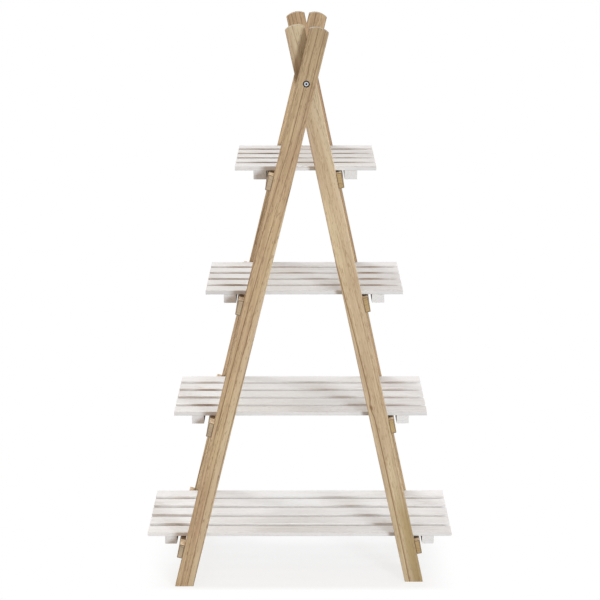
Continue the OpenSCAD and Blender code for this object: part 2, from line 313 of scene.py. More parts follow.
# %% [markdown]
# What makes one board differ from the next is written as a record: where the pith of the tree lay
# beside the board, its slope and bend along it, how wide the rings and their lines are, how much the
# grain sways, how uneven the years are, which one is bold, how strong the others are, and where a pin
# knot is. A helper sets the record into a material at the board's own place, so that no two boards
# repeat each other.

# %% Set the figure in a board
OFF_THE_BOARD = 9999.0


def figure_of(seed, pith, slope, ring, width, bend=0.0, stop=OFF_THE_BOARD, sway=28.0, years=0.9, bold=0.0,
              faint=1.0, knot=(OFF_THE_BOARD, 0.0, 0.0)):
    """The figure's inputs by name. Pith and slope are (across, through), in mm and in mm per mm, and the
    bend is across, in mm per square mm."""
    return {"Seed": seed, "Pith": (0, *pith), "Slope": (0, *slope), "Bend": (0, bend, 0), "Stop": stop,
            "Ring": ring, "Width": width, "Sway": sway, "Years": years, "Bold": bold, "Faint": faint,
            "Knot": knot}


def figure_in(tree, board, record):
    """The figure's outputs for a board, the point in it, and the texture coordinates. Mapping takes the
    board's middle away, turns its axes upright and divides by a thousandth, which leaves millimetres."""
    turn = Matrix(board["axes"].T.tolist()).to_euler()
    place = add(tree, "TexCoord").outputs
    local = add(tree, "Mapping", {"Vector": place["Object"], "Location": board["middle"], "Rotation": turn,
                                  "Scale": (MM, MM, MM)}, vector_type="TEXTURE")
    figure = add(tree, "Group", node_tree=FIGURE)
    tree.links.new(local.outputs[0], figure.inputs["Point"])
    for name, value in {"Half": board["half"] / MM, "Axis": board["axes"][0], **record}.items():
        figure.inputs[name].default_value = value
    return figure.outputs, local.outputs[0], place


print("a plain board:", figure_of(0.0, (70, 0), (0, 0), 6.0, 1.2))

# %% [markdown]
# Colour goes on in layers, as it does on a real board: the wood's own tans, then what time and use
# have added, each with a place where it shows. The surface is a thin dull film in which fibres stand
# up a little and pores are sunk. Relief of up to 0.3 mm is too fine for the mesh, so it is bump.


# %% Layers of colour and the surface under them
def layered(tree, base, layers):
    """Lays colours over a base. A layer is (where it shows, from 0 to 1, how strongly, its colour)."""
    for where, strength, code in layers:
        share = add(tree, "Math", (where, strength), operation="MULTIPLY")
        base = add(tree, "Mix", {0: share, 6: base, 7: linear(code)}, data_type="RGBA")
    return base


def thin_coat(tree, grain, colour, rough, gloss, pore_depth, strength, height):
    """A coat on wood: the relief is the fibres less the pores times their depth, of a height in metres."""
    sunk = add(tree, "Math", (grain["Pores"], -pore_depth, grain["Fibre"]), operation="MULTIPLY_ADD")
    relief = add(tree, "Bump", {"Height": sunk, "Strength": strength, "Distance": height})
    shader = add(tree, "BsdfPrincipled", {"Base Color": colour, "Roughness": rough, "Normal": relief,
                                          "IOR": 1.5, "Specular IOR Level": gloss})
    add(tree, "OutputMaterial", (shader,))


GLOSS = 0.35
print("specular level of the matt film:", GLOSS)

# %% [markdown]
# The upper faces of the rungs are painted pale, a painted highlight where light falls on them. Beside
# the legs and under the first slat they get a dark, dull band, which is painted shade under the slats.
# One leg also has a brown stain low on its outer side. Each is a mask in the board's own millimetres
# times a mask of the faces it is on.

# %% Painted shade on a rung and stain on a foot
BAND_FROM_END = 41.0
STAIN_FROM, STAIN_TO = -420.0, -560.0


def painted_rung_shade(tree, along, upward, half, shade_colour, reach):
    """The layer and the gloss of the bands of painted shade on a rung's upper edge, dark and with no sheen:
    each is as wide as reach to both sides of its middle, and 4 mm more to fade."""
    from_middle = add(tree, "Math", (along,), operation="ABSOLUTE")
    from_band = add(tree, "Math", (from_middle, half - BAND_FROM_END), operation="SUBTRACT")
    beside = add(tree, "Math", (from_band,), operation="ABSOLUTE")
    shade_band = add(tree, "MapRange", (beside, reach, reach + 4.0, 0.8, 0.0), **SMOOTH)
    level = add(tree, "MapRange", (upward, 0.6, 0.9))
    shaded_top = add(tree, "Math", (shade_band, level), operation="MULTIPLY")
    return (shaded_top, 1.0, shade_colour), add(tree, "MapRange", (shaded_top, 0.0, 1.0, GLOSS, 0.0))


def foot_stain(tree, along, across, side, brown):
    """The layer of brown over the lowest part of a leg, on one side of its width."""
    lowest = add(tree, "MapRange", (along, STAIN_FROM, STAIN_TO), **SMOOTH)
    outer = add(tree, "MapRange", (across, -10.0 * side, 4.0 * side), **SMOOTH)
    return add(tree, "Math", (lowest, outer), operation="MULTIPLY"), 0.55, brown


leg_half = boards["right_front_leg"]["half"][0] / MM
print("the stain is whole up to %.0f mm along the leg from its foot" % (leg_half + STAIN_TO))

# %% [markdown]
# The ladders are planed and sanded boards under a thin matt clear coat. To the eye that is a soft
# olive tan with a few long darker lines, a dull sheen, and end grain that drinks the coat. A tree's
# outer wood is paler, so the part of a leg beyond a certain ring is pale.


# %% Clear-coated timber
def clear_timber(name, board, record, tans, sap_from, tones, top_light, foot=None):
    """Sanded timber under a matt clear coat: fibres mix two tans, ring lines and pores darken them, and
    beyond sap_from, in millimetres from the pith, the wood turns pale. The tones are how light the wood
    is at its low or far end and at its top. The top light is how pale an upward face is painted, a
    painted highlight where light falls on it. A foot is the side and the colour of a brown stain in a
    leg's lowest part."""
    light, deep, line, pale, cut, vessel = tans
    is_rung, half = "rung" in name, board["half"][0] / MM
    material, tree = new_material(name)
    grain, point, place = figure_in(tree, board, record)
    along, across, _ = add(tree, "SeparateXYZ", (point,)).outputs
    upward = add(tree, "SeparateXYZ", (place["Normal"],)).outputs["Z"]
    fibres = add(tree, "MapRange", (grain["Fibre"], 0.3, 0.7))
    body = add(tree, "Mix", {0: fibres, 6: linear(deep), 7: linear(light)}, data_type="RGBA")
    sap = add(tree, "MapRange", (grain["Radius"], sap_from - 3.0, sap_from + 7.0), **SMOOTH)
    sapped = layered(tree, body, [(sap, 0.6, pale)])

    # A slow change of hue, from olive to rose
    hue = add(tree, "MapRange", (grain["Cloud"], 0.38, 0.62))
    tint = add(tree, "Mix", {0: hue, 6: linear("#B9A574"), 7: linear("#C69C78")}, data_type="RGBA")
    rosy = add(tree, "Mix", {0: 0.22, 6: sapped, 7: tint}, data_type="RGBA")

    # Sawn ends drink the coat, the rings still show through, and their rims are dark; on the rungs the
    # rims are darker still, as painted shade for the dark line under the slats
    # Upward faces are painted pale: a painted highlight where light falls on the tops
    lit_top = add(tree, "MapRange", (upward, 0.6, 0.9), **SMOOTH)
    layers = [foot_stain(tree, along, across, *foot)] if foot else []
    layers += [(grain["Line"], 0.88, line), (grain["Pores"], 0.5, vessel), (grain["Knot"], 0.75, "#77552F"),
               (grain["End"], 0.6, cut), (grain["Rim"], 0.75 if is_rung else 0.3, "#4E3B27"),
               (lit_top, top_light, "#F3DFBC")]
    gloss = GLOSS
    if is_rung:
        # The band is painted shade under the first slat, near black on the right ladder, where it is wider
        shade_colour, reach = ("#503A25", 8.0) if "left" in name else ("#1E140C", 25.0)
        shade_layer, gloss = painted_rung_shade(tree, along, upward, half, shade_colour, reach)
        layers.append(shade_layer)

    # Slow clouds, a tone from end to end, and lighter edges: wear and a painted highlight on the arris
    shade = add(tree, "MapRange", (grain["Cloud"], 0.3, 0.7, 1.08, 0.9))
    for part in ((along, -half, 0.0, tones[0], 1.0), (along, half * 0.4, half, 1.0, tones[1]),
                 (grain["Edge"], 0.0, 1.0, 1.0, 1.12)):
        shade = add(tree, "Math", (shade, add(tree, "MapRange", part)), operation="MULTIPLY")
    colour = add(tree, "VectorMath", {0: layered(tree, rosy, layers), "Scale": shade}, operation="SCALE")
    rough = add(tree, "MapRange", (grain["Fibre"], 0.0, 1.0, 0.62, 0.46))
    thin_coat(tree, grain, colour, rough, gloss, 1.2, 0.35, 0.3 * MM)
    return material


wood = [name for name in boards if name.endswith("leg") or "rung" in name]
print(len(wood), "boards of clear-coated timber")

# %% [markdown]
# Every leg and rung gets a record by chance, from a fixed seed, so that it is the same each time. Its
# own seed moves it to another part of the noises. The two front legs then follow the picture: three
# long lines that slant over the left one, and on the right one a single bold line near its inner edge
# with a pin knot on it. The right-hand ladder is a little lighter and yellower than the left one, and
# its back leg has darker, browner tans. Tans are the light and the deep fibre, the ring line, the pale
# outer wood, the sawn end and the pore.


# %% Dress the ladders
def dress(name, material):
    """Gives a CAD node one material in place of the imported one."""
    slots = nodes[name].data.materials
    slots.clear()
    slots.append(material)


LEFT_TANS = ("#DCC4A0", "#A08566", "#6B4825", "#D8C8AA", "#B5A78E", "#755638")
RIGHT_TANS = ("#E1CFAF", "#AD977A", "#7A5529", "#E0D2B4", "#AC9058", "#93774F")
BROWN_TANS = ("#BEA385", "#92775A", "#6B4A2B", "#B49A78", "#A58A5C", "#6B4E33")
TONES = {"left_front_leg": (1.02, 0.74), "right_front_leg": (0.96, 0.86), "left_back_leg": (0.98, 0.9)}
# How pale each ladder's rung tops are painted: a painted highlight, stronger on the left ladder
TOP_LIGHT = {"left_rung": 0.45, "right_rung": 0.2}
chance = np.random.default_rng(41)
records, sap_from = {}, {}
for number, name in enumerate(wood):
    # The bark was on the right of every leg, and the axis across a left-hand one points to the left
    bark = -1 if name.startswith("left") else 1
    pith = chance.uniform(60, 90)
    long = name.endswith("leg")
    records[name] = figure_of(2.37 * number, (-bark * pith, chance.uniform(-30, 30)),
                              (chance.uniform(-0.006, 0.006), chance.uniform(-0.012, 0.012)),
                              chance.uniform(10, 14) if long else chance.uniform(5, 8),
                              2.2 if long else 1.2)
    sap_from[name] = pith + 12 if long else OFF_THE_BOARD

records["left_front_leg"] = figure_of(2.4375, (194.1, 10.0), (-0.0272, 0.0), 16.0, 2.5, bend=-3.8e-5,
                                      stop=450.0, sway=9.0, years=0.0)
records["right_front_leg"] = figure_of(2.6923, (-206.9, -10.0), (-0.0296, 0.0), 26.0, 3.4, bend=-3.2e-5,
                                       sway=7.0, years=0.0, bold=10.0, faint=0.45,
                                       knot=(-227.0, -12.5, -11.0))
records["left_back_leg"]["Knot"] = (180.0, -6.0, 4.0)
sap_from["left_front_leg"], sap_from["right_front_leg"] = 202.0, 232.0
for name in wood:
    tans = LEFT_TANS if name.startswith("left") else BROWN_TANS if name == "right_back_leg" else RIGHT_TANS
    foot = (1, "#97804A") if name == "right_front_leg" else None
    dress(name, clear_timber("clear_timber_" + name, boards[name], records[name], tans, sap_from[name],
                             TONES.get(name, (1.0, 1.0)), TOP_LIGHT.get(name[:-2], 0.0), foot))
    print(name, "pith", np.round(records[name]["Pith"], 1), "ring %.1f mm" % records[name]["Ring"])

# %% [markdown]
# Over the battens and rungs, which block the light from below, the walls of the gaps get tan patches
# of painted shade. The faces that look forward are also painted lighter or darker from one end of a
# board to the other, as painted light and shade. Both follow the stand, not the board's own frame, so
# they are worked out from the X of the object, between the two battens.

# %% Painted shade in the gaps and painted light on the faces
RUNG_IN_FROM_BATTEN, WHOLE_WITHIN, GONE_AT = 16 * MM, 10 * MM, 50 * MM


def painted_gap_shade(tree, x, wall, patchy, battens, missed):
    """The layer of painted shade on the walls of the gaps, round the line where each batten meets its rung.
    Painted shade is the left share, the right share and the colour."""
    centre, apart = (battens[0] + battens[1]) / 2, (battens[1] - battens[0]) / 2
    off_centre = add(tree, "Math", (x, centre), operation="SUBTRACT")
    outward = add(tree, "Math", (off_centre,), operation="ABSOLUTE")
    past = add(tree, "Math", (outward, apart - RUNG_IN_FROM_BATTEN), operation="SUBTRACT")
    nearby = add(tree, "Math", (past,), operation="ABSOLUTE")
    share = add(tree, "MapRange", (off_centre, -MM, MM, missed[0], missed[1]))
    corner = add(tree, "MapRange", (nearby, WHOLE_WITHIN, GONE_AT, share, 0.0), **SMOOTH)
    on_wall = add(tree, "Math", (corner, wall), operation="MULTIPLY")
    return add(tree, "Math", (on_wall, patchy), operation="MULTIPLY"), 1.0, missed[2]


def painted_face_light(tree, x, front, centre, half, tones):
    """How light a face that looks forward is painted at its left end, in its middle and at its right end,
    as painted light and shade: the tone changes from a fifth to four fifths of the half length."""
    near, far = half * 0.2, half * 0.8
    left = add(tree, "MapRange", (x, centre - far, centre - near, tones[0], tones[1]), **SMOOTH)
    right = add(tree, "MapRange", (x, centre + near, centre + far, 1.0, tones[2] / tones[1]), **SMOOTH)
    both = add(tree, "Math", (left, right), operation="MULTIPLY")
    return add(tree, "MapRange", (front, 0.0, 1.0, 1.0, both))


print("missed corners fade out %.0f mm from the rung" % (GONE_AT / MM))

# %% [markdown]
# The shelves are the same timber under a thin whitewash. The paint hides the colour and not the
# grain: harder ring lines stay a shade warmer, pores show as fine grey dashes, and the eased edges
# are rubbed a little towards the wood. The walls of the gaps are painted tan, partly as wood showing
# through thin paint and partly as painted shade, more on the higher shelves. The battens' inner faces,
# which lie against the rungs, are painted dark as painted shade in the slit beside the rungs, and they
# are rough, with next to no gloss.


# %% Whitewashed timber
def whitewashed_timber(name, board, record, coat, bare_and_shade, shaded_side, battens, missed, tones):
    """Thin white paint on timber: off-white, with faint warm lines and fibres, and rubbed edges. The coat
    is how white the paint is, and also a painted light that differs from shelf to shelf. Bare and shade are
    how much wood and painted shade show on the front and on the back side. The shaded side is 1 or -1
    where the face to the right or left is painted dark as painted shade, else 0. Tones are the painted
    light and shade of its forward faces at the left end, in the middle and at the right end."""
    material, tree = new_material(name)
    grain, _, place = figure_in(tree, board, record)
    rightward, backward, _ = add(tree, "SeparateXYZ", (place["Normal"],)).outputs
    x = add(tree, "SeparateXYZ", (place["Object"],)).outputs["X"]
    fibres = add(tree, "MapRange", (grain["Fibre"], 0.3, 0.7))
    body = add(tree, "Mix", {0: fibres, 6: linear("#DEDFDE"), 7: linear("#EDEEEE")}, data_type="RGBA")
    worn = add(tree, "Math", (grain["Edge"], grain["Cloud"]), operation="MULTIPLY")
    rubbed = add(tree, "MapRange", (worn, 0.3, 0.8))

    # Where the paint is thin and the walls are painted in shade, the share changes from patch to patch
    front = add(tree, "MapRange", (backward, -0.5, -0.9))
    back = add(tree, "MapRange", (backward, 0.5, 0.9, 0.0, bare_and_shade[1]))
    sides = add(tree, "Math", (front, bare_and_shade[0], back), operation="MULTIPLY_ADD")
    patchy = add(tree, "MapRange", (grain["Cloud"], 0.35, 0.65, 0.4, 1.0))
    thin_and_shaded = add(tree, "Math", (sides, patchy), operation="MULTIPLY")
    layers = [(grain["Line"], 0.4, "#C6BFB6"), (grain["Pores"], 0.2, "#B5ACA3"), (rubbed, 0.3, "#C6BAAB"),
              (thin_and_shaded, 1.0, "#A58A6B")]
    rough = add(tree, "MapRange", (grain["Fibre"], 0.0, 1.0, 0.6, 0.45))
    # Painted shade on the gap walls round the battens and rungs
    if bare_and_shade[0]:
        layers.append(painted_gap_shade(tree, x, front, patchy, battens, missed))
    # The batten's face towards its rung is painted dark and rough, as painted shade in the slit
    if shaded_side:
        shaded_face = add(tree, "MapRange", (rightward, 0.5 * shaded_side, 0.9 * shaded_side))
        layers.append((shaded_face, 0.85, "#5E4833" if shaded_side > 0 else "#33261A"))
        rough = add(tree, "Math", (shaded_face, rough), operation="ADD", use_clamp=True)

    # The coat is how white the paint is, and also a painted light: the lower shelves are painted whiter
    clouds = add(tree, "MapRange", (grain["Cloud"], 0.3, 0.7, 0.975 * coat, 1.005 * coat))
    ends = add(tree, "MapRange", (grain["End"], 0.0, 1.0, 1.0, 0.95))
    shade = add(tree, "Math", (clouds, ends), operation="MULTIPLY")
    # Forward faces are painted lighter or darker along the shelf, as painted light and shade
    if tones:
        face = painted_face_light(tree, x, front, sum(battens) / 2, board["half"][0], tones)
        shade = add(tree, "Math", (shade, face), operation="MULTIPLY")
    colour = add(tree, "VectorMath", {0: layered(tree, body, layers), "Scale": shade}, operation="SCALE")
    thin_coat(tree, grain, colour, rough, GLOSS, 1.0, 0.25, 0.25 * MM)
    return material


print("whitewash is from", np.round(linear("#DEDFDE")[:3], 3), "to", np.round(linear("#EDEEEE")[:3], 3))

# %% [markdown]
# Each shelf has its own record: how white its coat is, which is also a painted light, whiter on the
# lower shelves; how much wood and painted shade show on the walls of its gaps; what share of painted
# shade its left and right corners get, and in which colour. Front and walls are the painted light and
# shade of the front face and of the walls of the gaps, at the left end, in the middle and at the right
# end. The wall of the lowest shelf's first gap has more painted shade than the others.

# %% Dress the shelves
SHELVES = {"shelf_1": {"coat": 1.08, "bare_and_shade": 0.02, "missed": (0.3, 0.1, "#937252"),
                       "front": (1.08, 0.99, 0.92), "walls": (1.03, 1.08, 1.0)},
           "shelf_2": {"coat": 1.06, "bare_and_shade": 0.08, "missed": (0.7, 0.45, "#937252"),
                       "front": (0.92, 0.95, 0.86), "walls": None},
           "shelf_3": {"coat": 1.03, "bare_and_shade": 0.2, "missed": (0.65, 0.9, "#937252"),
                       "front": (0.82, 0.91, 0.86), "walls": None},
           "shelf_4": {"coat": 0.98, "bare_and_shade": 0.22, "missed": (0.75, 0.75, "#83776A"),
                       "front": (0.97, 1.05, 0.9), "walls": None}}
# The first gap of the lowest shelf gets more painted shade
FIRST_GAP_PAINTED_SHADE = {"shelf_1_slat_2": (0.48, 0.16, "#937252")}
for number, name in enumerate(n for n in boards if n.startswith("shelf")):
    record = figure_of(1.91 * number + 50,
                       (chance.uniform(-60, 60), chance.choice([-1, 1]) * chance.uniform(15, 70)),
                       (chance.uniform(-0.02, 0.02), chance.uniform(-0.02, 0.02)),
                       chance.uniform(5, 9), 1.1)
    shelf = SHELVES[name[:7]]
    bare_and_shade = [0.0 if name.endswith((outer, "batten")) else shelf["bare_and_shade"] for outer in ("slat_1", "slat_5")]
    # Each batten's face towards its rung gets painted shade
    shaded_side = {"left_batten": 1, "right_batten": -1}.get(name[8:], 0)
    battens = [boards[name[:8] + side + "_batten"]["middle"][0] for side in ("left", "right")]
    missed = FIRST_GAP_PAINTED_SHADE.get(name, shelf["missed"])
    tones = shelf["front"] if name.endswith("slat_1") else shelf["walls"] if "slat" in name else None
    dress(name, whitewashed_timber("whitewashed_" + name, boards[name], record, shelf["coat"], bare_and_shade,
                                   shaded_side, battens, missed, tones))
print("whitewashed", number + 1, "slats and battens")

# %% [markdown]
# The screws and the pivot bolts are zinc-plated steel, and the washers are blackened steel. Zinc is a
# bright, slightly blue grey that a little handling dulls; black oxide is a dark brown grey. Plating
# hardly reaches the bottom of a driver's recess, and grease and wood dust stay there; the recess is
# also painted darker towards its bottom as painted shade. An attribute on the mesh tells the material
# where the recess is, and the metal turns dark and dull in it.


# %% Metals
def plated_steel(name, colour, dull, bright):
    """Metal with a slow change of roughness, from fingers and tumbling, 6 mm across."""
    material, tree = new_material(name)
    place = add(tree, "TexCoord").outputs["Object"]
    cloud = add(tree, "TexNoise", {"Vector": place, "Scale": 1 / (6 * MM), "Detail": 3.0})
    sunk = add(tree, "Attribute", attribute_name="recess").outputs["Fac"]
    rough = add(tree, "MapRange", (cloud, 0.3, 0.7, bright, dull))
    duller = add(tree, "Math", (sunk, 0.35, rough), operation="MULTIPLY_ADD")
    tone = add(tree, "MapRange", (cloud, 0.0, 1.0, 0.9, 1.05))
    shaded = add(tree, "VectorMath", {0: linear(colour)[:3], "Scale": tone}, operation="SCALE")
    # Grime and painted shade in the recess, darker towards its bottom
    grime_and_shade = add(tree, "Mix", {0: sunk, 6: shaded, 7: linear("#1B1E29")}, data_type="RGBA")
    shader = add(tree, "BsdfPrincipled", {"Base Color": grime_and_shade, "Metallic": 1.0, "Roughness": duller})
    add(tree, "OutputMaterial", (shader,))
    return material


zinc = plated_steel("zinc_plated_steel", "#C4C6CB", 0.42, 0.28)
black_oxide = plated_steel("blackened_steel", "#1E1B19", 0.7, 0.55)
for name in nodes:
    if name.endswith("washer"):
        dress(name, black_oxide)
print("plated the metal")

# %% [markdown]
# A screw or a bolt is turned, so its surface is a function of two parameters: the angle round the axis,
# and a row number along the outline from the point, up the shank, over the head and down into the
# recess. A row is a circle, except in the recess, where it is the driver's cross or hexagon, and on
# the thread, where the radius rises and falls as the angle and the height go round a helix. The
# angles are chosen so that every corner of the cross or hexagon falls on one of them, which keeps the
# recess sharp with few faces.


# %% Shape of the driver recesses
def cross_outline(angle, arm, half_width):
    """Radius of a cross at an angle: an arm's side is half_width away from its middle line, its end is
    at arm."""
    turned = np.abs((angle + np.pi / 4) % (np.pi / 2) - np.pi / 4)
    side = half_width / np.maximum(np.sin(turned), 1e-9)
    return np.minimum(side, arm / np.cos(turned))


def hexagon_outline(angle, flats):
    """Radius of a hexagon at an angle: half the flats over the cosine of the angle from a flat's middle."""
    return flats / 2 / np.cos((angle + np.pi / 6) % (np.pi / 3) - np.pi / 6)


CROSS_ARM, CROSS_HALF = 2.3, 0.55
corner = np.degrees(np.arctan2(CROSS_HALF, CROSS_ARM))
QUARTER = np.array([0, corner, 20, 32, 45, 58, 70, 90 - corner])
CROSS_ANGLES = np.radians((QUARTER + 90 * np.arange(4)[:, None]).ravel())
HEX_ANGLES = np.radians(np.arange(0, 360, 7.5))
print(len(CROSS_ANGLES), "angles round a screw,", len(HEX_ANGLES), "round a bolt")

# %% [markdown]
# One function works out the points of all copies of a piece, and another makes one mesh of them. Each
# copy is turned by 2.4 radians more than the last, because a screwdriver leaves no two crosses lined
# up. Instances would be lighter, but one mesh to a CAD node keeps the table of pieces simple.


# %% Turn a piece of hardware
def turned_metal(rows, angles, copies):
    """Vertices, quads and recess shares of hardware in many places. Each row is (radius, height, recess),
    where the radius is a number or an array over the angles. The first and the last row close at the
    axis. A copy is (place of the head's face, way out of the surface)."""
    radius = np.array([np.broadcast_to(row[0], angles.shape) for row in rows]) * MM
    height = np.array([row[1] for row in rows])[:, None] * MM + 0 * radius
    own = np.stack([radius * np.cos(angles), radius * np.sin(angles), height], axis=-1).reshape(-1, 3)
    n_row, n_angle = radius.shape
    i, j = np.meshgrid(np.arange(n_row - 1), np.arange(n_angle), indexing="ij")
    k = (j + 1) % n_angle
    near, next_row = i * n_angle, (i + 1) * n_angle
    quads = np.stack([near + j, near + k, next_row + k, next_row + j], axis=-1)
    shares = np.repeat([row[2] for row in rows], n_angle)
    points, faces = [], []
    for number, (place, way) in enumerate(copies):
        out = np.array(way) / np.linalg.norm(way)
        side = np.cross(out, [0.3, 1.0, 0.2])  # any way square to out
        side /= np.linalg.norm(side)
        turn = 2.4 * number
        first = np.cos(turn) * side + np.sin(turn) * np.cross(out, side)
        points.append(own @ np.stack([first, np.cross(out, first), out]) + place)
        faces.append(quads.reshape(-1, 4) + number * len(own))
    return np.concatenate(points), np.concatenate(faces), np.tile(shares, len(copies))


def metal_piece(name, rows, angles, copies, body, node):
    """Makes the mesh object, welds its poles, and lets it stand for the CAD node."""
    points, faces, shares = turned_metal(rows, angles, copies)
    mesh = bpy.data.meshes.new(name)
    mesh.from_pydata(points.tolist(), [], faces.tolist())
    mesh.attributes.new("recess", "FLOAT", "POINT").data.foreach_set("value", shares.astype(np.float32))
    work = bmesh.new()
    work.from_mesh(mesh)
    bmesh.ops.remove_doubles(work, verts=work.verts, dist=1e-6)
    work.to_mesh(mesh)
    work.free()
    mesh.materials.append(zinc)
    made = bpy.data.objects.new(name, mesh)
    bpy.context.scene.collection.objects.link(made)
    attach(made, body)
    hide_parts(node)
    low, high = points.min(axis=0), points.max(axis=0)
    off = np.abs(np.array(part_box(node)) - [low, high]).max()
    print("%s: %d quads, %d copies, box off by %.2f mm" % (name, len(faces), len(copies), off / MM))


pin = turned_metal([(0, -5, 0), (1, -5, 0), (1, 0, 0), (0, 0, 0)], HEX_ANGLES, [((0, 0, 0), (0, 0, 1))])
print("a plain pin would have", len(pin[1]), "quads")

# %% [markdown]
# The countersunk wood screws: 4 mm thick, with an 8 mm head flush with the wood, a cross recess, and a
# thread of 2.4 mm pitch that is cut into the shank so that it stays inside the hole of the CAD model.
# Two hold each end of each rung, 11 mm from its end and 18 mm apart, and one comes up through a batten
# into each slat. The places are read off the boards.


# %% Wood screws
def screw_rows(length, plain):
    """Rows of a countersunk screw from its point to the middle of its recess: plain is the length of
    shank without thread under the head."""
    crest, root, pitch, head, head_rise, point = 2.0, 1.5, 2.4, 4.0, 2.0, 4.0
    heights = np.arange(point * 0.25 - length, -head_rise - plain, pitch / 4)
    taper = np.clip((heights + length) / point, 0.1, 1.0)
    wave = (heights[:, None] / pitch - CROSS_ANGLES / (2 * np.pi)) % 1.0
    ridge = np.clip(1 - np.abs(wave - 0.5) * 4, 0, 1)
    thread = (root + (crest - root) * ridge) * taper[:, None]
    recess = cross_outline(CROSS_ANGLES, CROSS_ARM, CROSS_HALF)
    shank = [(radii, height, 0.0) for radii, height in zip(thread, heights)]
    # The cone, a land 0.1 mm high round its edge, and the flat face as far as the cross
    cone = [(crest, -head_rise - plain, 0.0), (crest, -head_rise, 0.0), (head - 0.15, -0.2, 0.0),
            (head, -0.1, 0.0), (head - 0.12, 0.0, 0.0), (np.maximum(recess, 2.6), 0.0, 0.0)]
    # The cross narrows to its point, 1.9 mm deep
    socket = [(recess, 0.0, 0.35), (recess * 0.96, -0.15, 0.9), (recess * 0.62, -1.5, 1.0),
              (recess * 0.3, -1.8, 1.0), (0.0, -1.9, 1.0)]
    return [(0.0, -length, 0.0)] + shank + cone + socket


LEG_T, SCREW_STEP = 22 * MM, 9 * MM
for side, way in (("left", -1), ("right", 1)):
    copies = []
    for name in (n for n in boards if n.startswith(side + "_rung")):
        middle, half = boards[name]["middle"], boards[name]["half"]
        along, across, through = boards[name]["axes"]
        out = through * np.sign(through[0]) * way
        copies += [(middle + out * half[2] + end * along * (half[0] - LEG_T / 2)
                    + step * across * SCREW_STEP, out) for end in (-1, 1) for step in (-1, 1)]
    metal_piece(side + "_rung_screws", screw_rows(40, 9), CROSS_ANGLES, copies, side + "_ladder",
                side + "_ladder_screws")
for shelf in (1, 2, 3, 4):
    slats = [boards["shelf_%d_slat_%d" % (shelf, k)]["middle"] for k in (1, 2, 3, 4, 5)]
    battens = [boards["shelf_%d_%s_batten" % (shelf, side)] for side in ("left", "right")]
    feet = [b["middle"] - [0, 0, (b["axes"][:, 2] ** 2) @ b["half"]] for b in battens]
    copies = [((foot[0], slat[1], foot[2]), (0, 0, -1)) for foot in feet for slat in slats]
    metal_piece("shelf_%d_batten_screws" % shelf, screw_rows(28, 6), CROSS_ANGLES, copies,
                "shelf_%d" % shelf, "shelf_%d_screws" % shelf)

# %% [markdown]
# The pivot hardware is a furniture bolt in a sleeve nut: both have a flat round head with a chamfer and
# a 4 mm hexagon socket. The sleeve is the pin that the legs turn on, and the bolt screws into its bore.
# The heads sit in 16 mm recesses, so the front one shows as a bright disc in a dark ring.

# %% Pivot bolts and sleeve nuts
HEAD_R, HEAD_H, SOCKET = 5.25, 2.8, hexagon_outline(HEX_ANGLES, 4)
socket_head = [(HEAD_R, -HEAD_H, 0.0), (HEAD_R, -0.5, 0.0), (HEAD_R - 0.15, -0.2, 0.0),
               (HEAD_R - 0.5, 0.0, 0.0), (SOCKET + 0.25, 0.0, 0.1), (SOCKET, -0.2, 0.9),
               (SOCKET, -2.0, 1.0), (0.0, -2.0, 1.0)]
SLEEVE_BORE = 20.2


def bolt_rows(length):
    """Rows of the bolt: a threaded shank 6 mm thick with a pitch of 1 mm, then the head."""
    heights = np.arange(0.5, length - HEAD_H - 1.0, 0.25) - length
    wave = (heights[:, None] - HEX_ANGLES / (2 * np.pi)) % 1.0
    thread = 2.62 + 0.38 * (1 - np.abs(wave - 0.5) * 2)
    shank = [(radii, height, 0.0) for radii, height in zip(thread, heights)]
    neck = [(3.0, -HEAD_H - 1.0, 0.0), (3.0, -HEAD_H, 0.0)]
    return [(0.0, -length, 0.0), (2.5, -length, 0.0)] + shank + neck + socket_head


def sleeve_rows(length, bore):
    """Rows of the sleeve nut: up the bore, over its open end, back along the sleeve, then the head."""
    return [(0.0, bore - length, 0.6), (3.05, bore - length, 0.6), (3.05, 0.4 - length, 0.2),
            (3.3, -length, 0.0), (3.8, -length, 0.0), (4.0, 0.25 - length, 0.0),
            (4.0, -HEAD_H, 0.0)] + socket_head


for face, way in (("front", -1), ("back", 1)):
    for part, out in (("pivot_bolt", way), ("sleeve_nut", -way)):
        low, high = np.array(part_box(face + "_" + part))
        place = (low + high) / 2
        place[1] = low[1] if out < 0 else high[1]
        length = (high[1] - low[1]) / MM
        rows = bolt_rows(length) if part == "pivot_bolt" else sleeve_rows(length, SLEEVE_BORE)
        metal_piece(face + "_turned_" + part, rows, HEX_ANGLES, [(place, (0, out, 0))], "left_ladder",
                    face + "_" + part)

# %% [markdown]
# The picture has a pure white ground with a very faint shadow. To light that meets the object the floor
# is a grey diffuse board, whose colour sets the bounce from below. The camera and mirrors see mostly an
# even white of strength 1. Close round the feet a share of it is real lit white, so that the shadow
# stays, and the far floor is as white as the page, with no lamp turned up for it. From below the camera
# sees through the sheet to the undersides.


# %% Floor
def floor_sheet(half, y_middle, drop):
    """A square sheet as a grid of two parameters, lower than z = 0 by drop, a hair below the feet."""
    u, v = np.meshgrid([-half, half], [-half, half])
    points = np.stack([u, v + y_middle, np.full_like(u, -drop)], axis=-1).reshape(-1, 3)
    mesh = bpy.data.meshes.new("floor")
    mesh.from_pydata(points.tolist(), [], [(0, 1, 3, 2)])
    made = bpy.data.objects.new("floor", mesh)
    bpy.context.scene.collection.objects.link(made)
    return made


